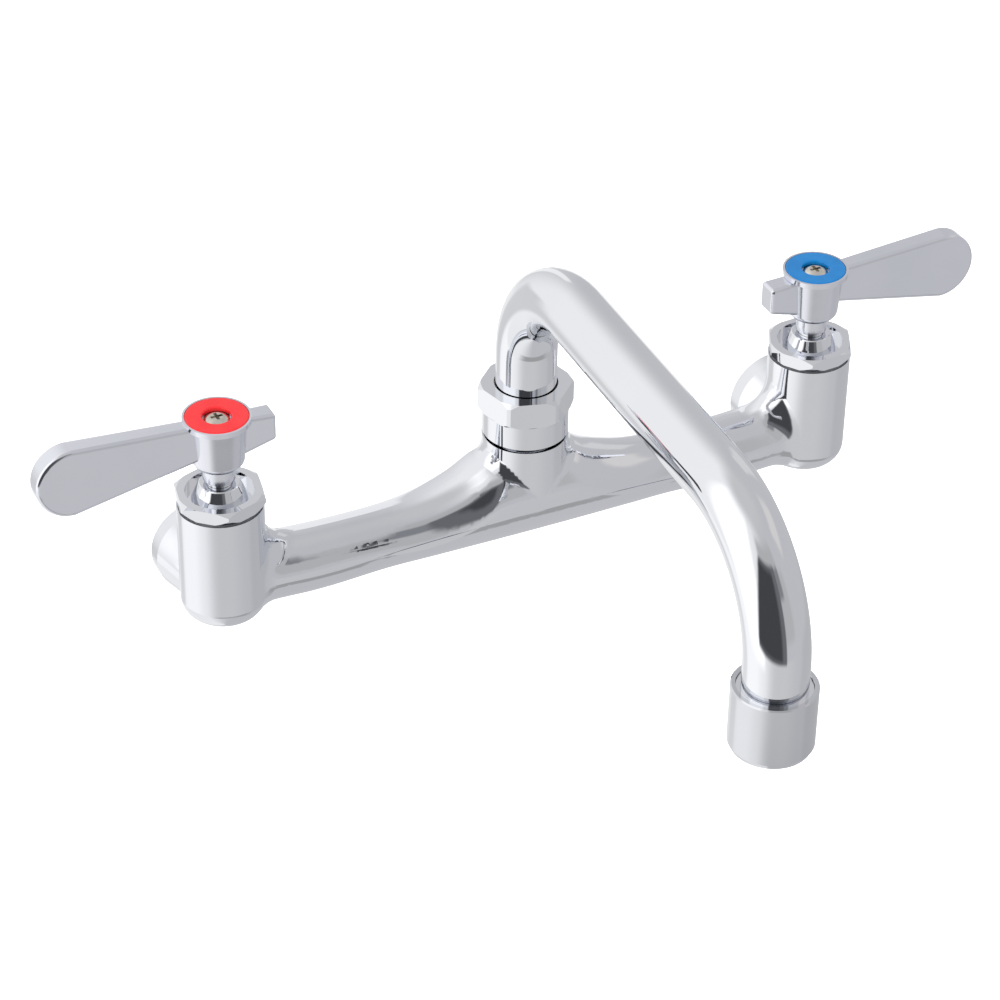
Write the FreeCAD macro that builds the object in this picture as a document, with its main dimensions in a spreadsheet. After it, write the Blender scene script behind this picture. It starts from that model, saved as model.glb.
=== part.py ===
import FreeCAD, Part
import math
import os
from types import SimpleNamespace

import Sketcher

# Splash-mount faucet with two lever handles and a swivelling bent-tube spout.
# Frame: +X from the hot inlet to the cold inlet, +Y towards the wall, +Z up. The origin is on the
# wall plane, half way between the two inlets, at the height of the inlet axes.
# All sizes are millimetres.

SIZES = {
    # Body casting
    "inlet_centres": 203.2,
    "axis_to_wall": 22.0,
    "boss_dia": 30.0,
    "boss_length": 5.0,
    "boss_tip_dia": 22.6,
    "inlet_bore_dia": 18.3,
    "inlet_depth": 10.0,
    "port_dia": 5.6,
    "port_drop": 6.2,
    "run_dia": 19.5,
    "run_bore_dia": 9.0,
    "run_bore_rise": 2.0,
    "spout_way_dia": 8.0,
    "flare_radius": 64.0,
    "flare_start": 49.0,
    "flare_width_start": 66.0,
    "arm_rise": 0.6,
    "arm_droop": 0.5,
    "tower_proud": 0.15,
    "tower_base": 6.0,
    "tower_height": 26.5,
    "saddle_rise": 1.2,
    "flare_lift": 0.6,
    "neck_height": 11.0,
    "neck_wall": 2.1,
    "spigot_bore_floor": 12.0,
    "barrel_dia": 26.6,
    "barrel_depth": 11.8,
    "barrel_round": 7.0,
    "barrel_height": 28.4,
    "barrel_bore_dia": 20.4,
    "seat_depth": 3.0,
    "seat_hole_dia": 11.0,
    "seat_chamber": 6.4,
    "arm_fillet": 10.5,
    "tower_fillet": 5.0,
    "shoulder_proud": 0.15,
    "swell_dia": 22.0,
    "swell_back": 4.0,
    # Cartridge and bonnet
    "gasket_thickness": 0.7,
    "gasket_dia": 25.0,
    "hex_flats": 25.4,
    "hex_height": 4.2,
    "hex_chamfer_start": 0.3,
    "hex_chamfer_reach": 2.0,
    "hex_chamfer_top": 1.0,
    "hex_chamfer_low": 2.3,
    "hot_hex_turn": 18.7,
    "cold_hex_turn": 3.7,
    "thread_clearance": 0.1,
    "bonnet_shank": 16.4,
    "dish_dia": 21.0,
    "dish_depth": 2.8,
    "dome_dia": 17.4,
    "dome_height": 2.9,
    "dome_top_dia": 12.6,
    "dome_edge": 0.3,
    "seal_thickness": 2.2,
    "seal_dia": 16.8,
    "cage_dia": 17.8,
    "cage_wall": 1.15,
    "cage_length": 16.6,
    "cage_fit": 0.05,
    "window_height": 4.2,
    "window_width": 9.0,
    "disc_dia": 14.9,
    "disc_thickness": 2.8,
    "disc_gap": 0.1,
    "disc_port_dia": 3.6,
    "disc_port_radius": 3.9,
    "tang_width": 2.0,
    "tang_depth": 1.0,
    "stem_flange_dia": 14.7,
    "stem_flange": 3.0,
    "tang_inset": 1.0,
    "stem_piston_dia": 11.8,
    "stem_neck_dia": 8.0,
    "running_fit": 0.1,
    "shoulder_gap": 0.3,
    "ring_section": 1.7,
    "ring_play": 0.05,
    "stem_seal_rise": 5.0,
    "drive_square": 5.6,
    "drive_fit": 0.05,
    "drive_length": 14.3,
    # Lever handle
    "hub_gap": 1.4,
    "collar_dia": 9.8,
    "collar_length": 5.0,
    "bowl_dia": 16.0,
    "bowl_height": 2.3,
    "bowl_round": 2.7,
    "hub_dia": 17.8,
    "cap_dia": 20.8,
    "cap_height": 17.0,
    "cap_band": 1.6,
    "cap_step": 0.8,
    "lever_length": 57.4,
    "lever_thickness": 7.2,
    "root_thickness": 6.2,
    "lever_top_rise": 3.2,
    "lever_top_drop": 1.2,
    "tip_height": 22.5,
    "root_height": 10.2,
    "tail_length": 17.4,
    "tail_thickness": 7.4,
    "tail_root_height": 15.2,
    "tail_drop": 1.1,
    "tail_height": 8.8,
    "tail_round": 1.0,
    "lever_round": 1.3,
    "index_recess_dia": 19.4,
    "index_recess": 1.2,
    "index_fit": 0.05,
    "index_thickness": 1.4,
    "index_hole_dia": 8.6,
    "index_edge": 0.6,
    "screw_head_dia": 7.9,
    "screw_head": 2.2,
    "screw_dia": 4.0,
    "screw_length": 12.0,
    "screw_fit": 0.05,
    "screw_ledge": 1.2,
    "screw_hole_gap": 0.2,
    "cross_width": 1.0,
    "cross_length": 3.7,
    "cross_depth": 1.2,
    # Spout coupling
    "thrust_thickness": 0.7,
    "nut_flat_wall": 1.75,
    "nut_turn": -16.3,
    "nut_skirt_wall": 1.85,
    "nut_edge": 0.5,
    "nut_chamfer_start": 0.6,
    "nut_chamfer_reach": 1.7,
    "nut_chamfer_top": 1.3,
    "nut_chamfer_low": 1.2,
    "nut_seam": 0.6,
    "nut_skirt": 8.5,
    "nut_hex": 8.7,
    "nut_cover": 3.0,
    "nut_hole_gap": 0.425,
    "collar_ring_ledge": 1.25,
    "collar_ring_room": 0.4,
    "collar_relief": 0.2,
    "ring_split": 1.2,
    "collar_ring": 2.4,
    "bearing_gap": 0.1,
    "spigot_length": 22.0,
    "spigot_wall": 2.9,
    "socket_floor": 0.8,
    "seal_ring_section": 1.8,
    "seal_ring_play": 0.1,
    "seal_ring_low": 5.0,
    "seal_ring_high": 13.5,
    # Spout tube
    "tube_dia": 19.05,
    "tube_wall": 1.0,
    "riser_top": 56.0,
    "rear_bend_radius": 30.8,
    "front_bend_radius": 39.6,
    "slope_angle": 2.3,
    "spout_reach": 156.0,
    "tube_end": 33.0,
    # Outlet and aerator
    "outlet_ring_wall": 1.275,
    "outlet_ring_height": 4.0,
    "housing_wall": 1.5,
    "housing_fit": 0.1,
    "housing_top": 37.8,
    "housing_bottom": 17.0,
    "housing_lip": 1.6,
    "housing_lip_reach": 1.4,
    "housing_chamfer": 0.8,
    "housing_rim": 0.4,
    "washer_thickness": 1.8,
    "washer_hole_dia": 15.0,
    "insert_gap": 0.3,
    "insert_flange": 2.0,
    "insert_wall": 1.4,
    "insert_core_dia": 5.0,
    "insert_rib": 1.0,
    "screen_thickness": 0.5,
}

SHEET = "Sizes"
STEP_FOLDER = "parts"
SQRT3 = math.sqrt(3.0)
FIRST_FLARE_SHARE = 0.3


class Size:
    """A length that knows its value and the sheet formula that drives it."""

    def __init__(self, value, text=None):
        self.value = float(value)
        self.text = repr(float(value)) if text is None else text

    def _join(self, other, sign, value):
        return Size(value, f"({self.text} {sign} {other.text})")

    def __add__(self, other):
        other = as_size(other)
        return self._join(other, "+", self.value + other.value)

    def __radd__(self, other):
        return as_size(other) + self

    def __sub__(self, other):
        other = as_size(other)
        return self._join(other, "-", self.value - other.value)

    def __rsub__(self, other):
        return as_size(other) - self

    def __mul__(self, other):
        other = as_size(other)
        return self._join(other, "*", self.value * other.value)

    def __rmul__(self, other):
        return as_size(other) * self

    def __truediv__(self, other):
        other = as_size(other)
        return self._join(other, "/", self.value / other.value)

    def __neg__(self):
        return Size(-self.value, f"(0 - {self.text})")


def as_size(number):
    """Lets plain numbers mix with driven sizes."""
    return number if isinstance(number, Size) else Size(number)


def write_sheet(doc):
    """Writes the driving sizes into the sheet and returns them by name."""
    sheet = doc.addObject("Spreadsheet::Sheet", SHEET)
    for row, (name, value) in enumerate(SIZES.items(), start=1):
        sheet.set(f"A{row}", name)
        sheet.set(f"B{row}", str(value))
        sheet.setAlias(f"B{row}", name)
    doc.recompute()
    return SimpleNamespace(**{
        name: Size(sheet.get(name), f"{SHEET}.{name}") for name in SIZES
    })


# Sketch helpers

def drive(item, path, size):
    """Binds one property of an object to the sheet."""
    item.setExpression(path, as_size(size).text)


def new_body(doc, label):
    """An empty body whose label names its file."""
    body = doc.addObject("PartDesign::Body", label)
    body.Label = label
    return body


def sketch_on(body, role, name, offset=(0, 0, 0)):
    """A sketch on one of the body's own origin planes, moved by an offset in its own axes."""
    sketch = body.newObject("Sketcher::SketchObject", name)
    plane = [item for item in body.Origin.OriginFeatures if item.Role == role][0]
    sketch.AttachmentSupport = (plane, [""])
    sketch.MapMode = "FlatFace"
    sizes = [as_size(part) for part in offset]
    sketch.AttachmentOffset = FreeCAD.Placement(
        FreeCAD.Vector(*[size.value for size in sizes]), FreeCAD.Rotation())
    for axis, size in zip("xyz", sizes):
        drive(sketch, f".AttachmentOffset.Base.{axis}", size)
    return sketch


def lock(sketch, geometry, vertex, x, y):
    """Holds a vertex at two driven distances from the sketch's origin."""
    for kind, size in (("DistanceX", as_size(x)), ("DistanceY", as_size(y))):
        index = sketch.addConstraint(
            Sketcher.Constraint(kind, -1, 1, geometry, vertex, size.value))
        drive(sketch, f"Constraints[{index}]", size)


def arc_between(start, end, radius):
    """The short arc from start to end; a negative radius turns clockwise."""
    chord = end - start
    middle = (start + end) * 0.5
    reach = math.sqrt(max(radius * radius - chord.Length * chord.Length / 4, 0.0))
    left = FreeCAD.Vector(-chord.y, chord.x, 0).normalize()
    centre = middle + left * (reach if radius > 0 else -reach)
    first, last = (start, end) if radius > 0 else (end, start)
    angles = [math.atan2(p.y - centre.y, p.x - centre.x) for p in (first, last)]
    circle = Part.Circle(centre, FreeCAD.Vector(0, 0, 1), abs(radius))
    return Part.ArcOfCircle(circle, angles[0], angles[1])


def outline(sketch, steps):
    """A closed outline; each step is (x, y), or (x, y, radius) where an arc leads to the point."""
    points = [FreeCAD.Vector(as_size(s[0]).value, as_size(s[1]).value, 0) for s in steps]
    ends = []
    for index, step in enumerate(steps):
        start, end = points[index - 1], points[index]
        if len(step) == 3:
            radius = as_size(step[2])
            item = sketch.addGeometry(arc_between(start, end, radius.value), False)
            ends.append((item, 1, 2) if radius.value > 0 else (item, 2, 1))
            size = radius if radius.value > 0 else -radius
            rule = sketch.addConstraint(Sketcher.Constraint("Radius", item, size.value))
            drive(sketch, f"Constraints[{rule}]", size)
        else:
            item = sketch.addGeometry(Part.LineSegment(start, end), False)
            ends.append((item, 1, 2))
    for index, (item, first, last) in enumerate(ends):
        following = ends[(index + 1) % len(ends)]
        sketch.addConstraint(
            Sketcher.Constraint("Coincident", item, last, following[0], following[1]))
        lock(sketch, item, last, steps[index][0], steps[index][1])


def circle(sketch, x, y, radius):
    """A circle with a driven centre and radius."""
    radius = as_size(radius)
    centre = FreeCAD.Vector(as_size(x).value, as_size(y).value, 0)
    item = sketch.addGeometry(
        Part.Circle(centre, FreeCAD.Vector(0, 0, 1), radius.value), False)
    lock(sketch, item, 3, x, y)
    rule = sketch.addConstraint(Sketcher.Constraint("Radius", item, radius.value))
    drive(sketch, f"Constraints[{rule}]", radius)


def rectangle(sketch, x_low, y_low, x_high, y_high):
    """A rectangle between two driven corners."""
    outline(sketch, [(x_low, y_low), (x_high, y_low), (x_high, y_high), (x_low, y_high)])


# Feature helpers

def turned(body, name, steps, offset=(0, 0, 0)):
    """A solid turned about the sketch's upright axis."""
    sketch = sketch_on(body, "XZ_Plane", name + "_profile", offset)
    outline(sketch, steps)
    turn = body.newObject("PartDesign::Revolution", name)
    turn.Profile = (sketch, [""])
    turn.ReferenceAxis = (sketch, ["V_Axis"])
    turn.Angle = 360
    return turn


def turned_about(body, name, sketch, start, end):
    """A solid turned about a construction line drawn between two driven points."""
    points = [FreeCAD.Vector(as_size(p[0]).value, as_size(p[1]).value, 0) for p in (start, end)]
    line = sketch.addGeometry(Part.LineSegment(*points), True)
    lock(sketch, line, 1, *start)
    lock(sketch, line, 2, *end)
    body.Document.recompute()
    turn = body.newObject("PartDesign::Revolution", name)
    turn.Profile = (sketch, [""])
    turn.ReferenceAxis = (sketch, ["Axis0"])
    turn.Angle = 360
    body.Document.recompute()
    return turn


def removed(body, feature):
    """Recomputes after a cut and makes sure that it took something away."""
    before = feature.BaseFeature.Shape.Volume
    body.Document.recompute()
    if feature.Shape.Volume >= before - 1e-6:
        raise RuntimeError(f"{body.Label}: {feature.Name} cuts nothing")
    return feature


def bored(body, name, steps, offset=(0, 0, 0)):
    """A groove turned about the sketch's upright axis."""
    sketch = sketch_on(body, "XZ_Plane", name + "_profile", offset)
    outline(sketch, steps)
    body.Document.recompute()
    cut = body.newObject("PartDesign::Groove", name)
    cut.Profile = (sketch, [""])
    cut.ReferenceAxis = (sketch, ["V_Axis"])
    cut.Angle = 360
    return removed(body, cut)


def padded(body, name, sketch, length, both_ways=False, backwards=False):
    """A sketch pulled out to a driven length."""
    pad = body.newObject("PartDesign::Pad", name)
    pad.Profile = (sketch, [""])
    pad.Length = as_size(length).value
    drive(pad, "Length", length)
    pad.Midplane = both_ways
    pad.Reversed = backwards
    return pad


def pocketed(body, name, sketch, length, both_ways=False, backwards=False):
    """A sketch pushed in to a driven depth."""
    body.Document.recompute()
    pocket = body.newObject("PartDesign::Pocket", name)
    pocket.Profile = (sketch, [""])
    pocket.Length = as_size(length).value
    drive(pocket, "Length", length)
    pocket.Midplane = both_ways
    pocket.Reversed = backwards
    return removed(body, pocket)


def mirrored(body, name, features):
    """Repeats features on the other side of the YZ plane."""
    mirror = body.newObject("PartDesign::Mirrored", name)
    mirror.Originals = features
    plane = [item for item in body.Origin.OriginFeatures if item.Role == "YZ_Plane"][0]
    mirror.MirrorPlane = (plane, [""])
    body.Tip = mirror
    body.Document.recompute()
    return mirror


def rounded(body, name, radius, wanted):
    """Rounds the edges of the last feature that the test picks."""
    body.Document.recompute()
    base = body.Tip
    edges = [f"Edge{number}" for number, edge in enumerate(base.Shape.Edges, start=1)
             if wanted(edge)]
    if not edges:
        raise RuntimeError(f"{body.Label}: {name} finds no edge")
    fillet = body.newObject("PartDesign::Fillet", name)
    fillet.Base = (base, edges)
    fillet.Radius = as_size(radius).value
    drive(fillet, "Radius", radius)
    body.Document.recompute()
    return fillet


def hexagon(sketch, flats, turn):
    """A regular hexagon, its first corner turned from the sketch's X axis."""
    radius = flats / SQRT3
    steps = []
    for corner in range(6):
        angle = as_size(60.0 * corner) + turn
        value = math.radians(angle.value)
        across = Size(math.cos(value), f"cos({angle.text} * 1 deg)")
        along = Size(math.sin(value), f"sin({angle.text} * 1 deg)")
        steps.append((radius * across, radius * along))
    outline(sketch, steps)


def ring(doc, label, inner, outer, low, high):
    """A flat ring between two heights."""
    body = new_body(doc, label)
    turned(body, "ring", [(inner, low), (outer, low), (outer, high), (inner, high)])
    return body


def seal_ring(doc, label, middle, section, height):
    """A round-section seal, cut square where it lies in its groove."""
    body = new_body(doc, label)
    sketch = sketch_on(body, "XZ_Plane", "section")
    circle(sketch, middle, height, section / 2)
    turn = body.newObject("PartDesign::Revolution", "ring")
    turn.Profile = (sketch, [""])
    turn.ReferenceAxis = (sketch, ["V_Axis"])
    turn.Angle = 360
    return body


def stand(body, x, y, turn=0.0):
    """Puts a finished body on its own upright axis."""
    body.Placement = FreeCAD.Placement(
        FreeCAD.Vector(as_size(x).value, as_size(y).value, 0),
        FreeCAD.Rotation(FreeCAD.Vector(0, 0, 1), turn))
    drive(body, ".Placement.Base.x", x)
    drive(body, ".Placement.Base.y", y)
    return body


# Radii that several pieces share, built up from the tube outwards

def nut_hole(s):
    """The radius of the hole in the nut's cover, clear of the tube."""
    return s.tube_dia / 2 + s.nut_hole_gap


def collar(s):
    """The radius of the bearing ring that the nut's cover holds down."""
    return nut_hole(s) + s.collar_ring_ledge


def neck_radius(s):
    """The radius of the tower's threaded neck, with room for the bearing ring inside the nut."""
    return collar(s) + s.collar_ring_room


def nut_flats(s):
    """The width of the nut across its flats."""
    return 2 * (neck_radius(s) + s.nut_flat_wall)


def nut_skirt_radius(s):
    """The radius of the nut's round skirt."""
    return neck_radius(s) + s.nut_skirt_wall


def tower_radius(s):
    """The radius of the tower, a little proud of the nut's skirt."""
    return nut_skirt_radius(s) + s.tower_proud


def spigot_bore(s):
    """The radius of the bore that the spigot turns in."""
    return neck_radius(s) - s.neck_wall


def outlet_ring(s):
    """The radius of the ring brazed round the tube's end."""
    return s.tube_dia / 2 + s.outlet_ring_wall


def housing_bore(s):
    """The radius of the aerator's bore, which fits the outlet ring."""
    return outlet_ring(s) + s.housing_fit


def housing_mouth(s):
    """The radius of the aerator's mouth, inside its lip."""
    return housing_bore(s) - s.housing_lip_reach


# Body casting

def faucet_body(doc, s):
    """Two valve barrels, the run between them, the spout tower and the two inlet bosses."""
    body = new_body(doc, "faucet_body")
    half = s.inlet_centres / 2
    depth = s.axis_to_wall
    arms(body, s, half, depth)
    tower(body, s)
    barrel = valve_barrel(body, s, half, depth)
    boss = inlet_boss(body, s, half, depth)
    mirrored(body, "hot_side", [barrel, boss])
    soften(body, s)
    waterways(body, s, half, depth)
    return body


def tower(body, s):
    """The round post under the spout, with its threaded neck."""
    radius = tower_radius(s)
    neck = neck_radius(s)
    turned(body, "tower", [
        (0, s.tower_base),
        (radius, s.tower_base),
        (radius, s.tower_height),
        (neck, s.tower_height),
        (neck, s.tower_height + s.neck_height),
        (0, s.tower_height + s.neck_height),
    ], offset=(0, 0, s.axis_to_wall))


def valve_barrel(body, s, half, depth):
    """The upright barrel that holds a cartridge, with a rounded foot."""
    radius = s.barrel_dia / 2
    return turned(body, "barrel", [
        (0, -s.barrel_depth),
        (radius - s.barrel_round, -s.barrel_depth),
        (radius, s.barrel_round - s.barrel_depth, s.barrel_round),
        (radius, s.barrel_height),
        (0, s.barrel_height),
    ], offset=(half, 0, depth))


def inlet_boss(body, s, half, depth):
    """The round boss at the wall, tapering forwards into the barrel."""
    sketch = sketch_on(body, "XY_Plane", "boss_profile")
    outline(sketch, [
        (half, 0),
        (half, -depth),
        (half + s.boss_tip_dia / 2, -depth),
        (half + s.boss_dia / 2, -s.boss_length),
        (half + s.boss_dia / 2, 0),
    ])
    return turned_about(body, "boss", sketch, (half, 0), (half, -10))


def root(size):
    """The square root of a size."""
    return Size(math.sqrt(size.value), f"sqrt({size.text})")


def arms(body, s, half, depth):
    """Both arms as one smooth loft, swelling into the tower and back into the inlet bosses."""
    shares = (0.0, FIRST_FLARE_SHARE, 0.42, 0.56, 0.76, 1.0)
    stations = [flare_station(s, share) for share in shares]
    stations += [swell_station(s, half, share) for share in (0.25, 0.5, 0.75, 1.0)]
    sections = []
    for way in (-1, 1):
        chosen = stations[::-1] if way < 0 else stations[1:]
        for x, radius, low, high, back in chosen:
            sketch = sketch_on(body, "YZ_Plane", f"arm_section_{len(sections)}",
                               offset=(0, 0, x * way))
            middle = back - depth
            outline(sketch, [
                (middle + radius, low + radius, radius),
                (middle + radius, high - radius),
                (middle, high, radius),
                (middle - radius, high - radius, radius),
                (middle - radius, low + radius),
                (middle, low, radius),
            ])
            sections.append(sketch)
    smooth_loft(body, "arms", sections)


def flare_top(s, share):
    """The height of the arm's ridge on its way up to the tower."""
    away = s.flare_start * (1 - share)
    rise = s.flare_radius - root(s.flare_radius * s.flare_radius - away * away)
    return s.run_dia / 2 + rise + s.arm_rise


def bell(s, x):
    """The share of the tower's extra width that the arm has at a distance from the tower."""
    if x.value > s.flare_width_start.value:
        return as_size(0)
    part = x / s.flare_width_start
    left = 1 - part * part
    return left * left


def flare_station(s, share):
    """Distance, radius, bottom, top and set-back of the arm between the tower and its flare's end."""
    run = s.run_dia / 2
    x = s.flare_start * share
    wide = bell(s, x)
    radius = run + (tower_radius(s) + s.shoulder_proud - run) * wide
    top = flare_top(s, share) if share else flare_top(s, FIRST_FLARE_SHARE) + s.saddle_rise
    return x, radius, s.flare_lift * wide - run, top, as_size(0)


def swell_station(s, half, share):
    """The same sizes for the arm between its flare's end and the barrel's axis."""
    run = s.run_dia / 2
    x = s.flare_start + (half - s.flare_start) * share
    wide = bell(s, x)
    swell = run + (s.swell_dia / 2 - run) * share
    radius = swell + (tower_radius(s) + s.shoulder_proud - run) * wide
    droop = s.arm_droop * (4 * share * (1 - share))
    top = swell + s.arm_rise - droop
    return x, radius, s.flare_lift * wide - swell - droop, top, s.swell_back * share ** 4


def smooth_loft(body, name, sections):
    """A smooth loft through several sections."""
    body.Document.recompute()
    loft = body.newObject("PartDesign::AdditiveLoft", name)
    loft.Profile = (sections[0], [""])
    loft.Sections = [(sketch, [""]) for sketch in sections[1:]]
    body.Document.recompute()
    return loft


def soften(body, s):
    """Fillets where the arms meet the barrels and where the tower rises from the arms."""
    half = s.inlet_centres.value / 2
    barrel = s.barrel_dia.value / 2
    foot_round = s.barrel_round.value
    bottom = -s.barrel_depth.value
    post = tower_radius(s).value
    depth = s.axis_to_wall.value

    def samples(edge):
        low, high = edge.ParameterRange
        return [edge.valueAt(low + (high - low) * part) for part in (0.1, 0.5, 0.9)]

    def on_barrel(point):
        out = math.hypot(abs(point.x) - half, point.y + depth) - (barrel - foot_round)
        below = min(point.z - bottom - foot_round, 0.0)
        return abs(math.hypot(out, below) - foot_round) < 0.05

    def arm_root(edge):
        return all(
            on_barrel(point) and half - barrel - 1 < abs(point.x) < half - 2
            and bottom + 0.1 < point.z < barrel for point in samples(edge))

    def tower_root(edge):
        return edge.BoundBox.ZLength > 0.5 and edge.BoundBox.XLength > 1.0 and all(
            abs(math.hypot(point.x, point.y + depth) - post) < 0.02
            and point.z < s.tower_height.value - 0.1 for point in samples(edge))

    rounded(body, "arm_roots", s.arm_fillet, arm_root)
    rounded(body, "tower_root", s.tower_fillet, tower_root)


def waterways(body, s, half, depth):
    """Cartridge bores, seats, inlet threads, the mixing run and the spigot bore."""
    bore = s.barrel_bore_dia / 2
    hole = s.seat_hole_dia / 2
    seat = -s.seat_depth
    cartridge = bored(body, "cartridge_bore", [
        (0, seat - s.seat_chamber),
        (hole, seat - s.seat_chamber),
        (hole, seat),
        (bore, seat),
        (bore, s.barrel_height),
        (0, s.barrel_height),
    ], offset=(half, 0, depth))
    thread = sketch_on(body, "XZ_Plane", "inlet_profile")
    circle(thread, half, 0, s.inlet_bore_dia / 2)
    inlet = pocketed(body, "inlet", thread, s.inlet_depth, backwards=True)
    port = sketch_on(body, "XZ_Plane", "port_profile")
    circle(port, half, -s.port_drop, s.port_dia / 2)
    passage = pocketed(body, "port", port, depth, backwards=True)
    mirrored(body, "hot_waterways", [cartridge, inlet, passage])
    run = sketch_on(body, "YZ_Plane", "run_bore_profile")
    circle(run, -depth, s.run_bore_rise, s.run_bore_dia / 2)
    pocketed(body, "run_bore", run, s.inlet_centres - bore, both_ways=True)
    spigot = spigot_bore(s)
    way = s.spout_way_dia / 2
    top = s.tower_height + s.neck_height
    bored(body, "spigot_bore", [
        (0, s.run_bore_rise),
        (way, s.run_bore_rise),
        (way, s.spigot_bore_floor),
        (spigot, s.spigot_bore_floor),
        (spigot, top),
        (0, top),
    ], offset=(0, 0, depth))


# Valve cartridge, from the seat upwards

def seat_seal(doc, s, side):
    """The rubber ring between the casting's seat and the fixed disc."""
    low = -s.seat_depth
    return ring(doc, f"{side}_seat_seal", s.seat_hole_dia / 2, s.seal_dia / 2,
                low, low + s.seal_thickness)


def cartridge_floor(s):
    """The height of the top of the seat seal."""
    return s.seal_thickness - s.seat_depth


def cartridge_cage(doc, s, side):
    """The thin sleeve that holds the discs, with a window to each side."""
    floor = cartridge_floor(s)
    outer = s.cage_dia / 2
    body = ring(doc, f"{side}_cartridge_cage", outer - s.cage_wall, outer,
                floor, floor + s.cage_length)
    low = floor + 2 * s.disc_thickness + s.disc_gap
    sketch = sketch_on(body, "YZ_Plane", "window_profile")
    rectangle(sketch, -s.window_width / 2, low, s.window_width / 2, low + s.window_height)
    pocketed(body, "windows", sketch, s.cage_dia * 2, both_ways=True)
    return body


def ceramic_disc(doc, s, label, low, across):
    """A ported disc; the ports of the moving disc are a quarter turn from the fixed ones."""
    body = new_body(doc, label)
    turned(body, "blank", [
        (0, low),
        (s.disc_dia / 2, low),
        (s.disc_dia / 2, low + s.disc_thickness),
        (0, low + s.disc_thickness),
    ])
    sketch = sketch_on(body, "XY_Plane", "port_profile", offset=(0, 0, low))
    for way in (-1, 1):
        x = way * s.disc_port_radius if across else 0
        y = 0 if across else way * s.disc_port_radius
        circle(sketch, x, y, s.disc_port_dia / 2)
    pocketed(body, "ports", sketch, s.disc_thickness, backwards=True)
    return body


def fixed_disc(doc, s, side):
    """The lower disc, still on its seal."""
    return ceramic_disc(doc, s, f"{side}_fixed_disc", cartridge_floor(s), across=True)


def moving_disc(doc, s, side):
    """The upper disc, slotted for the stem's tang."""
    low = cartridge_floor(s) + s.disc_thickness + s.disc_gap
    body = ceramic_disc(doc, s, f"{side}_moving_disc", low, across=False)
    half = s.tang_width / 2 + s.drive_fit
    top = low + s.disc_thickness
    sketch = sketch_on(body, "XY_Plane", "slot_profile", offset=(0, 0, top))
    rectangle(sketch, -s.disc_dia, -half, s.disc_dia, half)
    pocketed(body, "slot", sketch, s.tang_depth + s.disc_gap)
    return body


def stem_levels(s):
    """The heights of the stem's steps, from its flange to the end of its square."""
    flange = cartridge_floor(s) + 2 * s.disc_thickness + 2 * s.disc_gap
    under_dome = bonnet_floor(s) + s.bonnet_shank
    shoulder = under_dome - s.shoulder_gap
    square = dome_top(s) + s.hub_gap
    return flange, shoulder, square, square + s.drive_length


def hex_low(s):
    """The height of the underside of the bonnet's hexagon."""
    return s.barrel_height + s.gasket_thickness


def bonnet_floor(s):
    """The height of the lower end of the bonnet's shank."""
    return hex_low(s) - s.bonnet_shank


def dome_top(s):
    """The height of the top of the bonnet's dome."""
    return hex_low(s) + s.hex_height + s.dome_height


def piston_low(s):
    """The height at which the stem's piston starts."""
    return cartridge_floor(s) + s.cage_length


def valve_stem(doc, s, side):
    """The turning spindle: tang, flange, grooved piston, neck and square."""
    body = new_body(doc, f"{side}_valve_stem")
    flange, shoulder, square, end = stem_levels(s)
    piston = s.stem_piston_dia / 2
    groove = piston - s.ring_section - s.ring_play
    ring_low = ring_height(s) - s.ring_section / 2 - s.ring_play
    ring_high = ring_height(s) + s.ring_section / 2 + s.ring_play
    neck = s.stem_neck_dia / 2
    turned(body, "spindle", [
        (0, flange),
        (s.stem_flange_dia / 2, flange),
        (s.stem_flange_dia / 2, flange + s.stem_flange),
        (neck, flange + s.stem_flange),
        (neck, piston_low(s)),
        (piston, piston_low(s)),
        (piston, ring_low),
        (groove, ring_low),
        (groove, ring_high),
        (piston, ring_high),
        (piston, shoulder),
        (neck, shoulder),
        (neck, square),
        (0, square),
    ])
    half = s.drive_square / 2
    drive_end = sketch_on(body, "XY_Plane", "drive_profile", offset=(0, 0, square))
    rectangle(drive_end, -half, -half, half, half)
    padded(body, "drive", drive_end, s.drive_length)
    tang = sketch_on(body, "XY_Plane", "tang_profile", offset=(0, 0, flange))
    tang_reach = s.disc_dia / 2 - s.tang_inset
    rectangle(tang, -tang_reach, -s.tang_width / 2, tang_reach, s.tang_width / 2)
    padded(body, "tang", tang, s.tang_depth + s.disc_gap, backwards=True)
    thread = sketch_on(body, "XY_Plane", "thread_profile", offset=(0, 0, end))
    circle(thread, 0, 0, s.screw_dia / 2 + s.screw_fit)
    pocketed(body, "thread", thread, s.screw_length)
    return body


def ring_height(s):
    """The height of the middle of the stem's seal."""
    return piston_low(s) + s.stem_seal_rise


def stem_seal(doc, s, side):
    """The round rubber seal in the stem's groove."""
    middle = (s.stem_piston_dia - s.ring_section) / 2
    return seal_ring(doc, f"{side}_stem_seal", middle, s.ring_section, ring_height(s))


def bonnet_gasket(doc, s, side):
    """The thin ring between the barrel's mouth and the bonnet."""
    return ring(doc, f"{side}_bonnet_gasket", s.barrel_bore_dia / 2, s.gasket_dia / 2,
                s.barrel_height, hex_low(s))


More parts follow.
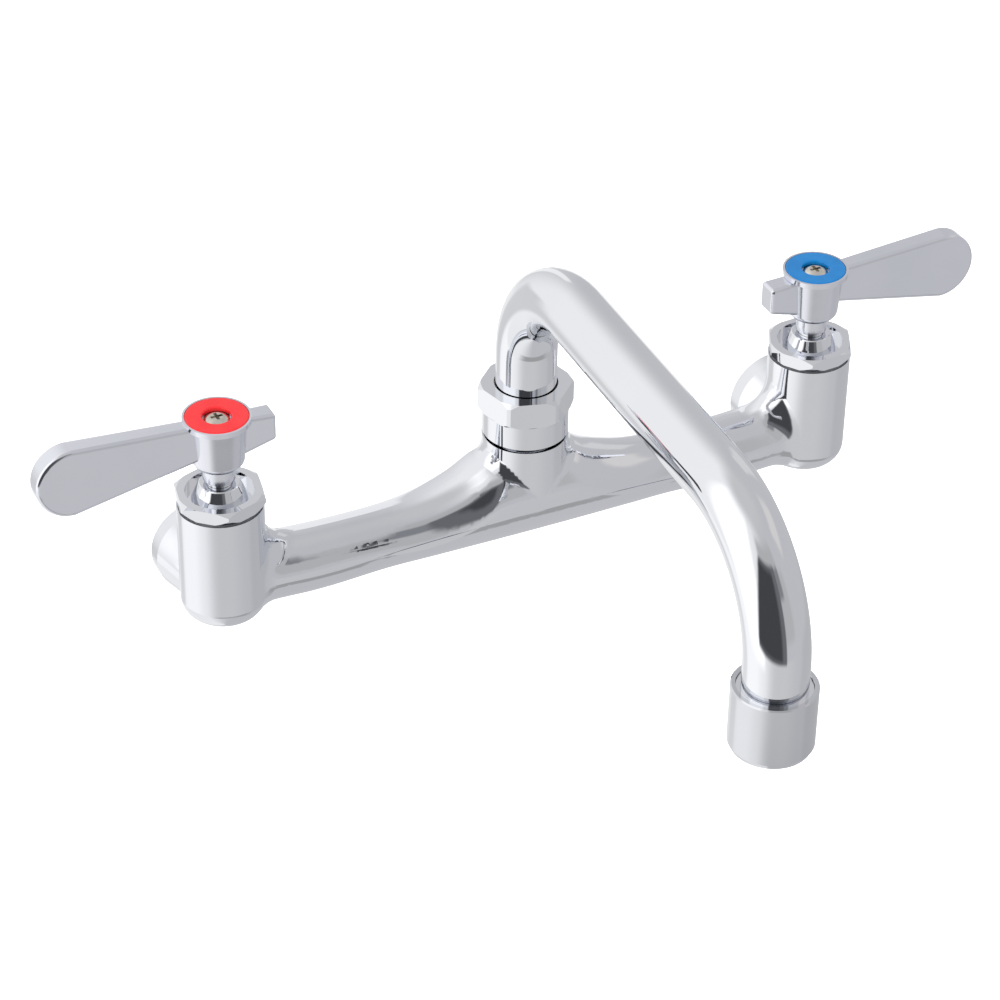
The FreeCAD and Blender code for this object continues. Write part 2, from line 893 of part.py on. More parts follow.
def bonnet(doc, s, side, turn):
    """The dished hexagon with a cone in the dish and the threaded shank below."""
    body = new_body(doc, f"{side}_bonnet")
    low = hex_low(s)
    high = low + s.hex_height
    flats = sketch_on(body, "XY_Plane", "hex_profile", offset=(0, 0, low))
    hexagon(flats, s.hex_flats, turn)
    padded(body, "hexagon", flats, s.hex_height)
    shank = s.barrel_bore_dia / 2 - s.thread_clearance
    taper = (s.dome_dia - s.dome_top_dia) / 2 / (s.dish_depth + s.dome_height)
    waist = s.dome_top_dia / 2 + taper * s.dome_height
    turned(body, "shank_and_dome", [
        (0, bonnet_floor(s)),
        (shank, bonnet_floor(s)),
        (shank, low),
        (waist, high),
        (s.dome_top_dia / 2, dome_top(s) - s.dome_edge),
        (s.dome_top_dia / 2 - s.dome_edge, dome_top(s)),
        (0, dome_top(s)),
    ])
    bored(body, "dish", [
        (s.dome_dia / 2, high - s.dish_depth),
        (s.dish_dia / 2, high - s.dish_depth),
        (s.dish_dia / 2, high),
        (waist, high),
    ])
    corner = s.hex_flats * 0.6
    start = s.hex_flats / 2 + s.hex_chamfer_start
    reach = s.hex_flats / 2 + s.hex_chamfer_reach
    bored(body, "corner_chamfers", [
        (start, low),
        (corner, low),
        (corner, high),
        (start, high),
        (reach, high - s.hex_chamfer_top),
        (reach, low + s.hex_chamfer_low),
    ])
    cage = s.cage_dia / 2 + s.cage_fit
    piston = s.stem_piston_dia / 2 + s.running_fit
    neck = s.stem_neck_dia / 2 + s.running_fit
    cage_top = piston_low(s) + s.cage_fit
    bored(body, "stem_bore", [
        (0, bonnet_floor(s)),
        (cage, bonnet_floor(s)),
        (cage, cage_top),
        (piston, cage_top),
        (piston, low),
        (neck, low),
        (neck, dome_top(s)),
        (0, dome_top(s)),
    ])
    return body


# Lever handle

def hub_low(s):
    """The height of the underside of the handle's collar."""
    return dome_top(s) + s.hub_gap


def cap_top(s):
    """The height of the rim round the index ring."""
    return hub_low(s) + s.collar_length + s.cap_height


def lever_handle(doc, s, side):
    """The blade with its tail, on a bowl-shaped hub with a square socket."""
    body = new_body(doc, f"{side}_lever_handle")
    blade(body, s)
    hub(body, s)
    low = hub_low(s)
    half = s.drive_square / 2 + s.drive_fit
    socket = sketch_on(body, "XY_Plane", "socket_profile", offset=(0, 0, low))
    rectangle(socket, -half, -half, half, half)
    pocketed(body, "socket", socket, s.drive_length + s.drive_fit, backwards=True)
    top = cap_top(s)
    seat = top - s.index_recess
    head = s.index_hole_dia / 2
    floor = screw_seat(s)
    hole = s.screw_dia / 2 + s.screw_hole_gap
    bored(body, "index_recess", [
        (0, low + s.drive_length),
        (hole, low + s.drive_length),
        (hole, floor),
        (head, floor),
        (head, seat),
        (s.index_recess_dia / 2, seat),
        (s.index_recess_dia / 2, top),
        (0, top),
    ])
    return body


def screw_seat(s):
    """The height of the ledge under the screw's head."""
    return cap_top(s) - s.index_recess - s.screw_ledge


def blade(body, s):
    """The tapering lever with its round end, and the short tail behind the hub."""
    top = cap_top(s) - s.lever_top_drop
    tip = s.tip_height / 2
    far = s.lever_length - tip
    middle = top + s.lever_top_rise - tip
    corner = s.lever_round
    half = s.lever_thickness / 2
    root_half = s.root_thickness / 2
    root = rounded_section(body, "lever_root", 0, root_half, top - s.root_height, top, corner)
    end = rounded_section(body, "lever_end", far, half, middle - tip, middle + tip, corner)
    lofted(body, "lever", root, end)
    round_tip(body, s, far, middle, tip)
    tail_half = s.tail_thickness / 2
    tail_top = top - s.tail_drop
    neck = rounded_section(body, "tail_root", 0, root_half, top - s.tail_root_height, top, corner)
    tail = rounded_section(body, "tail_end", -s.tail_length, tail_half,
                           tail_top - s.tail_height, tail_top, corner)
    lofted(body, "tail", neck, tail)
    back = s.tail_length.value
    rounded(body, "tail_edges", s.tail_round,
            lambda edge: abs(edge.BoundBox.XMin + back) < 0.01
            and abs(edge.BoundBox.XMax + back) < 0.01)


def rounded_section(body, name, x, half, low, high, corner):
    """A rounded rectangle across the lever at a distance from its axis."""
    sketch = sketch_on(body, "YZ_Plane", name, offset=(0, 0, x))
    outline(sketch, [
        (half - corner, low),
        (half, low + corner, corner),
        (half, high - corner),
        (half - corner, high, corner),
        (corner - half, high),
        (-half, high - corner, corner),
        (-half, low + corner),
        (corner - half, low, corner),
    ])
    return sketch


def lofted(body, name, first, second):
    """A straight loft between two sections."""
    body.Document.recompute()
    loft = body.newObject("PartDesign::AdditiveLoft", name)
    loft.Profile = (first, [""])
    loft.Sections = [(second, [""])]
    loft.Ruled = True
    body.Document.recompute()
    return loft


def round_tip(body, s, far, middle, tip):
    """The disc-shaped end of the lever, soft at its two edges."""
    half = s.lever_thickness / 2
    corner = s.lever_round
    sketch = sketch_on(body, "YZ_Plane", "tip_profile", offset=(0, 0, far))
    outline(sketch, [
        (half, middle),
        (half, middle + tip - corner),
        (half - corner, middle + tip, corner),
        (corner - half, middle + tip),
        (-half, middle + tip - corner, corner),
        (-half, middle),
    ])
    return turned_about(body, "tip", sketch, (0, middle), (10, middle))


def hub(body, s):
    """The turned middle of the handle: collar, bowl and cap rim."""
    low = hub_low(s)
    bowl = low + s.collar_length
    top = cap_top(s)
    turned(body, "hub", [
        (0, low),
        (s.collar_dia / 2, low),
        (s.collar_dia / 2, bowl),
        (s.bowl_dia / 2, bowl + s.bowl_height, s.bowl_round),
        (s.hub_dia / 2, top - s.cap_band - s.cap_step),
        (s.cap_dia / 2, top - s.cap_band),
        (s.cap_dia / 2, top),
        (0, top),
    ])


def index_ring(doc, s, side):
    """The coloured ring let into the cap."""
    low = cap_top(s) - s.index_recess
    high = low + s.index_thickness
    outer = s.index_recess_dia / 2 - s.index_fit
    inner = s.index_hole_dia / 2
    edge = s.index_edge
    body = new_body(doc, f"{side}_index_ring")
    turned(body, "ring", [
        (inner, low),
        (outer, low),
        (outer, high - edge),
        (outer - edge, high, edge),
        (inner + edge, high),
        (inner, high - edge, edge),
    ])
    return body


def handle_screw(doc, s, side):
    """The pan-head screw that holds the handle down on its square."""
    body = new_body(doc, f"{side}_handle_screw")
    seat = screw_seat(s)
    top = seat + s.screw_head
    head = s.screw_head_dia / 2
    shank = s.screw_dia / 2
    turned(body, "screw", [
        (0, seat - s.screw_length),
        (shank, seat - s.screw_length),
        (shank, seat),
        (head, seat),
        (head, seat + s.screw_head / 2),
        (head / 2, top, s.screw_head_dia / 2),
        (0, top),
    ])
    wide = s.cross_width / 2
    long = s.cross_length / 2
    sketch = sketch_on(body, "XY_Plane", "cross_profile", offset=(0, 0, top))
    outline(sketch, [
        (wide, wide), (long, wide), (long, -wide), (wide, -wide), (wide, -long), (-wide, -long),
        (-wide, -wide), (-long, -wide), (-long, wide), (-wide, wide), (-wide, long), (wide, long),
    ])
    pocketed(body, "cross", sketch, s.cross_depth)
    return body


# Spout coupling, on the tower's neck

def neck_top(s):
    """The height of the top of the tower's neck."""
    return s.tower_height + s.neck_height


def shoulder_low(s):
    """The height of the underside of the spigot's shoulder."""
    return neck_top(s) + s.thrust_thickness + s.bearing_gap


def thrust_washer(doc, s):
    """The plastic washer between the neck and the spigot's shoulder."""
    return ring(doc, "spout_thrust_washer", spigot_bore(s), collar(s),
                neck_top(s), neck_top(s) + s.thrust_thickness)


def split_ring(doc, s):
    """The bearing ring between the shoulder and the nut's cover, with its split."""
    low = shoulder_low(s) + s.collar_ring + s.bearing_gap
    body = ring(doc, "spout_bearing_ring", s.tube_dia / 2 + s.running_fit,
                collar(s), low, nut_cover_low(s))
    sketch = sketch_on(body, "XY_Plane", "split_profile", offset=(0, 0, low))
    rectangle(sketch, 0, -s.ring_split / 2, 2 * collar(s), s.ring_split / 2)
    pocketed(body, "split", sketch, s.collar_ring, backwards=True)
    return body


def nut_low(s):
    """The height of the underside of the nut's skirt."""
    return s.tower_height + s.nut_seam


def nut_cover_low(s):
    """The height of the underside of the nut's cover."""
    return nut_low(s) + s.nut_skirt + s.nut_hex - s.nut_cover


def spout_nut(doc, s):
    """The coupling nut: a round skirt under a hexagon, open at the top for the tube."""
    body = new_body(doc, "spout_nut")
    low = nut_low(s)
    seat = low + s.nut_skirt
    high = seat + s.nut_hex
    flats = sketch_on(body, "XY_Plane", "hex_profile", offset=(0, 0, seat))
    hexagon(flats, nut_flats(s), s.nut_turn)
    padded(body, "hexagon", flats, s.nut_hex)
    skirt = nut_skirt_radius(s)
    edge = s.nut_edge
    turned(body, "skirt", [
        (0, low),
        (skirt - edge, low),
        (skirt, low + edge),
        (skirt, seat),
        (0, seat),
    ])
    corner = nut_flats(s) * 0.6
    start = nut_flats(s) / 2 + s.nut_chamfer_start
    reach = nut_flats(s) / 2 + s.nut_chamfer_reach
    bored(body, "corner_chamfers", [
        (corner, seat),
        (corner, high),
        (start, high),
        (reach, high - s.nut_chamfer_top),
        (reach, seat + s.nut_chamfer_low),
        (start, seat),
    ])
    thread = neck_radius(s) + s.thread_clearance
    bored(body, "thread_and_hole", [
        (0, low),
        (thread, low),
        (thread, nut_cover_low(s)),
        (nut_hole(s), nut_cover_low(s)),
        (nut_hole(s), high),
        (0, high),
    ])
    return body


def spigot_bottom(s):
    """The height of the lower end of the spigot."""
    return shoulder_low(s) - s.spigot_length


def spout_spigot(doc, s):
    """The brass end of the spout: a socket for the tube over a grooved spigot."""
    body = new_body(doc, "spout_spigot")
    low = spigot_bottom(s)
    shoulder = shoulder_low(s)
    top = shoulder + s.collar_ring
    outer = spigot_bore(s) - s.running_fit
    inner = spigot_bore(s) - s.spigot_wall
    groove = outer - s.seal_ring_section
    half = s.seal_ring_section / 2 + s.seal_ring_play
    steps = [(inner, low), (outer, low)]
    for height in (s.seal_ring_low, s.seal_ring_high):
        steps += [(outer, low + height - half), (groove, low + height - half),
                  (groove, low + height + half), (outer, low + height + half)]
    steps += [
        (outer, shoulder),
        (collar(s) - s.collar_relief, shoulder),
        (collar(s) - s.collar_relief, top),
        (s.tube_dia / 2, top),
        (s.tube_dia / 2, tube_foot(s)),
        (inner, tube_foot(s)),
    ]
    turned(body, "spigot", steps)
    return body


def spigot_seal(doc, s, name, height):
    """A round rubber seal in one of the spigot's grooves."""
    middle = spigot_bore(s) - s.running_fit - s.seal_ring_section / 2
    return seal_ring(doc, name, middle, s.seal_ring_section, spigot_bottom(s) + height)


# Spout tube

def tube_foot(s):
    """The height of the tube's lower end in its socket."""
    return shoulder_low(s) + s.socket_floor


def spout_tube(doc, s):
    """The bent tube: a riser, a rear bend, a gentle slope and a front bend to the outlet."""
    body = new_body(doc, "spout_tube")
    path = spout_path(body, s)
    section = sketch_on(body, "XY_Plane", "section", offset=(0, 0, tube_foot(s)))
    circle(section, 0, 0, s.tube_dia / 2)
    bore = sketch_on(body, "XY_Plane", "bore_section", offset=(0, 0, tube_foot(s)))
    circle(bore, 0, 0, s.tube_dia / 2 - s.tube_wall)
    body.Document.recompute()
    tube = body.newObject("PartDesign::AdditivePipe", "tube")
    tube.Profile = (section, [""])
    tube.Spine = (path, [])
    body.Document.recompute()
    hollow = body.newObject("PartDesign::SubtractivePipe", "bore")
    hollow.Profile = (bore, [""])
    hollow.Spine = (path, [])
    removed(body, hollow)
    return body


def spout_path(body, s):
    """The middle line of the tube, drawn towards the user in the sketch's own plane."""
    rear, front = s.rear_bend_radius, s.front_bend_radius
    slope = Size(math.radians(s.slope_angle.value), f"({s.slope_angle.text} * pi / 180)")
    lean_sin = Size(math.sin(slope.value), f"sin({s.slope_angle.text} * 1 deg)")
    lean_cos = Size(math.cos(slope.value), f"cos({s.slope_angle.text} * 1 deg)")
    top = s.riser_top
    crest = (rear * (1 + lean_sin), top + rear * lean_cos)
    bend = s.spout_reach - front * (1 - lean_sin)
    fall = (bend - crest[0]) * lean_sin / lean_cos
    brow = (bend, crest[1] - fall)
    end = (s.spout_reach, brow[1] - front * lean_cos)
    nose = (s.spout_reach, s.tube_end)
    sketch = sketch_on(body, "YZ_Plane", "path")
    foot = (0, tube_foot(s))
    steps = [foot, (0, top), crest + (rear,), brow, end + (front,), nose]
    open_path(sketch, [(-as_size(step[0]),) + tuple(step[1:]) for step in steps])
    return sketch


def open_path(sketch, steps):
    """An open path of lines and arcs, each vertex held by the sheet."""
    points = [FreeCAD.Vector(as_size(p[0]).value, as_size(p[1]).value, 0) for p in steps]
    previous = None
    for index in range(1, len(steps)):
        start, end = points[index - 1], points[index]
        if len(steps[index]) == 3:
            radius = as_size(steps[index][2])
            item = sketch.addGeometry(arc_between(start, end, radius.value), False)
            rule = sketch.addConstraint(Sketcher.Constraint("Radius", item, radius.value))
            drive(sketch, f"Constraints[{rule}]", radius)
        else:
            item = sketch.addGeometry(Part.LineSegment(start, end), False)
        if previous is None:
            lock(sketch, item, 1, steps[0][0], steps[0][1])
        else:
            sketch.addConstraint(Sketcher.Constraint("Coincident", previous, 2, item, 1))
        lock(sketch, item, 2, steps[index][0], steps[index][1])
        previous = item


# Outlet and aerator

def outlet_adapter(doc, s):
    """The threaded ring brazed round the end of the tube."""
    return ring(doc, "outlet_adapter", s.tube_dia / 2, outlet_ring(s),
                s.tube_end, s.tube_end + s.outlet_ring_height)


def aerator_housing(doc, s):
    """The round shell that screws up round the adapter, with a lip inside its mouth."""
    body = new_body(doc, "aerator_housing")
    bore = housing_bore(s)
    outer = bore + s.housing_wall
    mouth = housing_mouth(s)
    low, high = s.housing_bottom, s.housing_top
    edge = s.housing_chamfer
    rim = s.housing_rim
    turned(body, "shell", [
        (mouth, low),
        (outer - edge, low),
        (outer, low + 2 * edge),
        (outer, high - rim),
        (outer - rim, high),
        (bore, high),
        (bore, low + s.housing_lip),
        (mouth, low + s.housing_lip),
    ])
    return body


def aerator_washer(doc, s):
    """The rubber washer under the adapter."""
    return ring(doc, "aerator_washer", s.washer_hole_dia / 2, housing_bore(s) - s.insert_gap,
                insert_top(s), s.tube_end)


def insert_top(s):
    """The height of the top of the aerator insert."""
    return s.tube_end - s.washer_thickness


def aerator_insert(doc, s):
    """The plastic cup that mixes air in: a flanged wall, four ribs and a core."""
    body = new_body(doc, "aerator_insert")
    outer = housing_mouth(s) - s.insert_gap
    flange = housing_bore(s) - s.insert_gap
    top = insert_top(s)
    low = s.housing_bottom + s.screen_thickness
    flange_low = top - s.insert_flange
    turned(body, "wall", [
        (outer - s.insert_wall, low),
        (outer, low),
        (outer, flange_low),
        (flange, flange_low),
        (flange, top),
        (outer - s.insert_wall, top),
    ])
    core = s.insert_core_dia / 2
    turned(body, "core", [(0, low), (core, low), (core, top), (0, top)])
    ribs = sketch_on(body, "XY_Plane", "rib_profile", offset=(0, 0, low))
    reach = outer - s.insert_wall / 2
    half = s.insert_rib / 2
    outline(ribs, [
        (half, half), (reach, half), (reach, -half), (half, -half), (half, -reach),
        (-half, -reach), (-half, -half), (-reach, -half), (-reach, half), (-half, half),
        (-half, reach), (half, reach),
    ])
    padded(body, "ribs", ribs, top - low)
    return body


def aerator_screen(doc, s):
    """The fine screen across the mouth."""
    body = new_body(doc, "aerator_screen")
    low = s.housing_bottom
    radius = housing_mouth(s) - s.insert_gap
    turned(body, "screen", [
        (0, low),
        (radius, low),
        (radius, low + s.screen_thickness),
        (0, low + s.screen_thickness),
    ])
    return body


# Assembly

def build_valve(doc, s, side, way, hex_turn):
    """One cartridge and its handle, on the hot (-1) or the cold (+1) side."""
    x = s.inlet_centres / 2 * way
    y = -s.axis_to_wall
    turn = 0.0 if way > 0 else 180.0
    still = [
        seat_seal(doc, s, side),
        fixed_disc(doc, s, side),
        cartridge_cage(doc, s, side),
        bonnet_gasket(doc, s, side),
        bonnet(doc, s, side, hex_turn),
    ]
    turning = [
        moving_disc(doc, s, side),
        valve_stem(doc, s, side),
        stem_seal(doc, s, side),
        lever_handle(doc, s, side),
        index_ring(doc, s, side),
        handle_screw(doc, s, side),
    ]
    for body in still:
        stand(body, x, y)
    for body in turning:
        stand(body, x, y, turn)
    return still + turning


def build_spout(doc, s):
    """The coupling on the tower, the tube and the aerator on its end."""
    coupling = [
        thrust_washer(doc, s),
        split_ring(doc, s),
        spout_nut(doc, s),
        spout_spigot(doc, s),
        spigot_seal(doc, s, "spout_lower_seal", s.seal_ring_low),
        spigot_seal(doc, s, "spout_upper_seal", s.seal_ring_high),
        spout_tube(doc, s),
    ]
    outlet = [
        outlet_adapter(doc, s),
        aerator_housing(doc, s),
        aerator_washer(doc, s),
        aerator_insert(doc, s),
        aerator_screen(doc, s),
    ]
    for body in coupling:
        stand(body, 0, -s.axis_to_wall)
    for body in outlet:
        stand(body, 0, -s.axis_to_wall - s.spout_reach)
    return coupling + outlet


def check(doc, bodies):
    """Stops the build if an object failed or a sub-part is empty or broken."""
    for item in doc.Objects:
        if "Invalid" in item.State or "Error" in item.State:
            raise RuntimeError(f"{item.Label} failed: {item.State}")
    for body in bodies:
        if body.Shape.isNull() or not body.Shape.isValid():
            raise RuntimeError(f"{body.Label} has no valid shape")
        if len(body.Shape.Solids) != 1:
            raise RuntimeError(f"{body.Label} has {len(body.Shape.Solids)} solids")


def main():
    """Builds the document and writes one file for each sub-part."""
    doc = FreeCAD.newDocument("splash_mount_faucet")
    s = write_sheet(doc)
    bodies = [faucet_body(doc, s)]
    bodies += build_valve(doc, s, "hot", -1, s.hot_hex_turn)
    bodies += build_valve(doc, s, "cold", 1, s.cold_hex_turn)
    bodies += build_spout(doc, s)
    doc.recompute()
    check(doc, bodies)
    os.makedirs(STEP_FOLDER, exist_ok=True)
    for body in bodies:
        body.Shape.exportStep(os.path.join(STEP_FOLDER, body.Label + ".step"))
    print(len(bodies), "sub-parts written")


main()
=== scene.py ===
"""Dresses the splash-mount faucet: its finishes, pipe threads, woven screen, studio and camera."""

import logging
import math
from dataclasses import dataclass, field
from enum import Enum

import bmesh
import bpy
from mathutils import Matrix, Vector

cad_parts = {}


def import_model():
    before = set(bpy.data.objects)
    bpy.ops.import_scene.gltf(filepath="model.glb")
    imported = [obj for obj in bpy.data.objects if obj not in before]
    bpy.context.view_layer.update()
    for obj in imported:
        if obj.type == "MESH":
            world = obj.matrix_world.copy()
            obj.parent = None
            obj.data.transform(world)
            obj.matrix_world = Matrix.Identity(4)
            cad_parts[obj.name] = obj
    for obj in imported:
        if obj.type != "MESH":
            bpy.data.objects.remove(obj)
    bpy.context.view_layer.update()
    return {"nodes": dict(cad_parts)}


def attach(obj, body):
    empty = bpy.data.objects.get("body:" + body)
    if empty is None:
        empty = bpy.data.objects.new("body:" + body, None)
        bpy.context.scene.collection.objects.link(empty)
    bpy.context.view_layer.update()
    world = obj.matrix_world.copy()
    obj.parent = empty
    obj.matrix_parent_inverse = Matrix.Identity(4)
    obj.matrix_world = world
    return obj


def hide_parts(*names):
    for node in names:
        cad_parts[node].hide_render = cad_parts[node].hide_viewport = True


LOG = logging.getLogger("faucet")
MM = 0.001
# The broad patches of a mottle are this many times its grain.
BROAD = 8
# At a scale of 1, Blender's wave texture repeats every 0.314 units.
WAVE_PERIOD = 0.314


class Side(Enum):
    """The two valves, as the user faces the wall."""

    HOT = "hot"
    COLD = "cold"


def linear(code: str) -> tuple[float, float, float, float]:
    """Turn an sRGB hex colour into the linear colour that shaders take.

    Args:
        code: Six hex digits after a hash, such as "#F03C3C".

    Returns:
        Red, green, blue and an alpha of one.
    """
    parts = [int(code[k:k + 2], 16) / 255 for k in (1, 3, 5)]
    return (*[p / 12.92 if p <= 0.04045 else ((p + 0.055) / 1.055) ** 2.4 for p in parts], 1.0)


def add_node(tree: bpy.types.NodeTree, kind: str, settings: dict | None = None,
             inputs: dict | None = None) -> bpy.types.Node:
    """Add one shader node with its settings and links.

    Args:
        tree: The node tree that gets the node.
        kind: The node's type name.
        settings: Attributes to set on the node.
        inputs: What goes into its sockets: an output socket to link, or a value.

    Returns:
        The new node.
    """
    node = tree.nodes.new(kind)
    for name, value in (settings or {}).items():
        setattr(node, name, value)
    for key, value in (inputs or {}).items():
        if isinstance(value, bpy.types.NodeSocket):
            tree.links.new(value, node.inputs[key])
        else:
            node.inputs[key].default_value = value
    return node


@dataclass(frozen=True)
class Finish:
    """A finish: its colours, its gloss and the size of its surface pattern.

    The pattern is a soft mottle between two colours and two roughnesses, with a matching relief.
    """

    name: str
    colour: str
    colour_low: str
    roughness: tuple[float, float]
    grain_mm: float
    relief_mm: float
    metallic: float = 0.0
    ior: float = 1.5
    stretch: tuple[float, float, float] = (1.0, 1.0, 1.0)

    def material(self) -> bpy.types.Material:
        """Build the material, or give the one that is already built."""
        known = bpy.data.materials.get(self.name)
        if known is not None:
            return known
        made = bpy.data.materials.new(self.name)
        made.use_nodes = True
        tree = made.node_tree
        shader = tree.nodes["Principled BSDF"]
        shader.inputs["Metallic"].default_value = self.metallic
        if not self.metallic:
            shader.inputs["IOR"].default_value = self.ior
        place = add_node(tree, "ShaderNodeTexCoord").outputs["Object"]
        place = add_node(tree, "ShaderNodeMapping", inputs={
            "Vector": place, "Scale": self.stretch}).outputs["Vector"]
        self.dress(tree, shader, place)
        return made

    def dress(self, tree: bpy.types.NodeTree, shader: bpy.types.Node,
              place: bpy.types.NodeSocket) -> None:
        """Link the mottle, the roughness and the relief to the shader.

        Args:
            tree: The material's node tree.
            shader: Its principled shader.
            place: The coordinates that the pattern follows.
        """
        broad = add_node(tree, "ShaderNodeTexNoise", inputs={
            "Vector": place, "Scale": 1 / (self.grain_mm * BROAD * MM), "Detail": 3.0}).outputs["Fac"]
        fine = add_node(tree, "ShaderNodeTexNoise", inputs={
            "Vector": place, "Scale": 1 / (self.grain_mm * MM), "Detail": 4.0}).outputs["Fac"]
        colour = add_node(tree, "ShaderNodeValToRGB", inputs={"Fac": broad})
        colour.color_ramp.elements[0].position = 0.35
        colour.color_ramp.elements[1].position = 0.65
        colour.color_ramp.elements[0].color = linear(self.colour_low)
        colour.color_ramp.elements[1].color = linear(self.colour)
        rough = add_node(tree, "ShaderNodeMapRange", inputs={
            "Value": broad, "From Min": 0.3, "From Max": 0.7,
            "To Min": self.roughness[0], "To Max": self.roughness[1]})
        bump = add_node(tree, "ShaderNodeBump", inputs={
            "Height": fine, "Strength": 1.0, "Distance": self.relief_mm * MM})
        tree.links.new(colour.outputs["Color"], shader.inputs["Base Color"])
        tree.links.new(rough.outputs["Result"], shader.inputs["Roughness"])
        tree.links.new(bump.outputs["Normal"], shader.inputs["Normal"])


@dataclass(frozen=True)
class TurnedFinish(Finish):
    """A finish with fine tool marks, as rings in shells round one point at the frame's height zero."""

    axis_mm: tuple[float, float] = (0.0, 0.0)
    pitch_mm: float = 0.12

    def dress(self, tree: bpy.types.NodeTree, shader: bpy.types.Node,
              place: bpy.types.NodeSocket) -> None:
        """Link the mottle, then cut the tool's rings into the relief.

        Args:
            tree: The material's node tree.
            shader: Its principled shader.
            place: The coordinates that the pattern follows.
        """
        super().dress(tree, shader, place)
        centred = add_node(tree, "ShaderNodeMapping", inputs={
            "Vector": place, "Location": (-self.axis_mm[0] * MM, -self.axis_mm[1] * MM, 0.0)})
        rings = add_node(tree, "ShaderNodeTexWave", settings={
            "wave_type": "RINGS", "rings_direction": "SPHERICAL"}, inputs={
            "Vector": centred.outputs["Vector"], "Scale": WAVE_PERIOD / (self.pitch_mm * MM),
            "Distortion": 0.6})
        bump = add_node(tree, "ShaderNodeBump", inputs={
            "Height": rings.outputs["Fac"], "Strength": 0.6, "Distance": self.relief_mm * MM,
            "Normal": shader.inputs["Normal"].links[0].from_socket})
        tree.links.new(bump.outputs["Normal"], shader.inputs["Normal"])


# Bright chromium over polished brass: a clear mirror, with the faint waviness that buffing leaves.
CHROME_CAST = Finish("chrome_plate_cast", "#E9EAEE", "#E4E6EB", (0.035, 0.06), 9.0, 0.004, metallic=1.0)
# The aerator's shell is plated over a turned, slightly duller ground.
CHROME_SHELL = Finish("chrome_plate_shell", "#DADBDF", "#D2D4D9", (0.06, 0.1), 5.0, 0.002, metallic=1.0)
# The same plating over drawn tube, which is smoother and runs along the spout.
CHROME_TUBE = Finish("chrome_plate_tube", "#EBECEF", "#E6E8EC", (0.025, 0.045), 12.0, 0.002, metallic=1.0)
# Turned and hexagon parts come straight from the machine, so their plating is the crispest mirror.
CHROME_TURNED = Finish("chrome_plate_turned", "#E9EAEE", "#E5E7EB", (0.02, 0.035), 6.0, 0.001, metallic=1.0)
# Die-cast levers are tumbled before plating, which leaves a softer, milkier mirror.
CHROME_LEVER = Finish("chrome_plate_lever", "#E8E9F0", "#E3E5EC", (0.12, 0.17), 3.0, 0.003, metallic=1.0)
# Glossy moulded ABS index rings: saturated, with a wet-looking skin.
RED_RING = Finish("index_ring_red_abs", "#FC3338", "#F42B31", (0.12, 0.2), 0.6, 0.004, ior=1.45)
BLUE_RING = Finish("index_ring_blue_abs", "#0084D0", "#007CC6", (0.12, 0.2), 0.6, 0.004, ior=1.45)
# Zinc-plated steel screws: warm, slightly cloudy metal.
ZINC = Finish("zinc_plated_steel", "#E2DDD4", "#CCC6BB", (0.16, 0.3), 0.5, 0.006, metallic=1.0)
# Moulded EPDM rubber: matt black with a faint bloom.
RUBBER = Finish("epdm_rubber", "#1C1C1E", "#151517", (0.62, 0.75), 0.35, 0.01, ior=1.5)
# Pressed fibre gasket, seen only as a grey edge with a dull sheen.
FIBRE = Finish("pressed_fibre_gasket", "#77787B", "#66676B", (0.38, 0.5), 0.3, 0.006, ior=1.5)
# Machined brass of the spigot, hidden in the tower: warm metal with faint tool marks.
BRASS = TurnedFinish("machined_brass", "#C9A45C", "#B98F47", (0.22, 0.34), 0.8, 0.004, metallic=1.0)
# Injection-moulded acetal for washers, the cage and the aerator's insert.
ACETAL = Finish("moulded_acetal", "#E6E4DC", "#DAD7CD", (0.4, 0.5), 0.5, 0.006, ior=1.48)
# Lapped alumina discs: a dense, off-white ceramic with an even sheen.
CERAMIC = Finish("lapped_alumina", "#F0EDE4", "#E6E2D7", (0.12, 0.2), 0.25, 0.001, ior=1.77)
# Drawn stainless wire of the aerator's screen.
WIRE = Finish("stainless_wire", "#C8C9CB", "#B0B2B5", (0.25, 0.35), 0.3, 0.003, metallic=1.0)


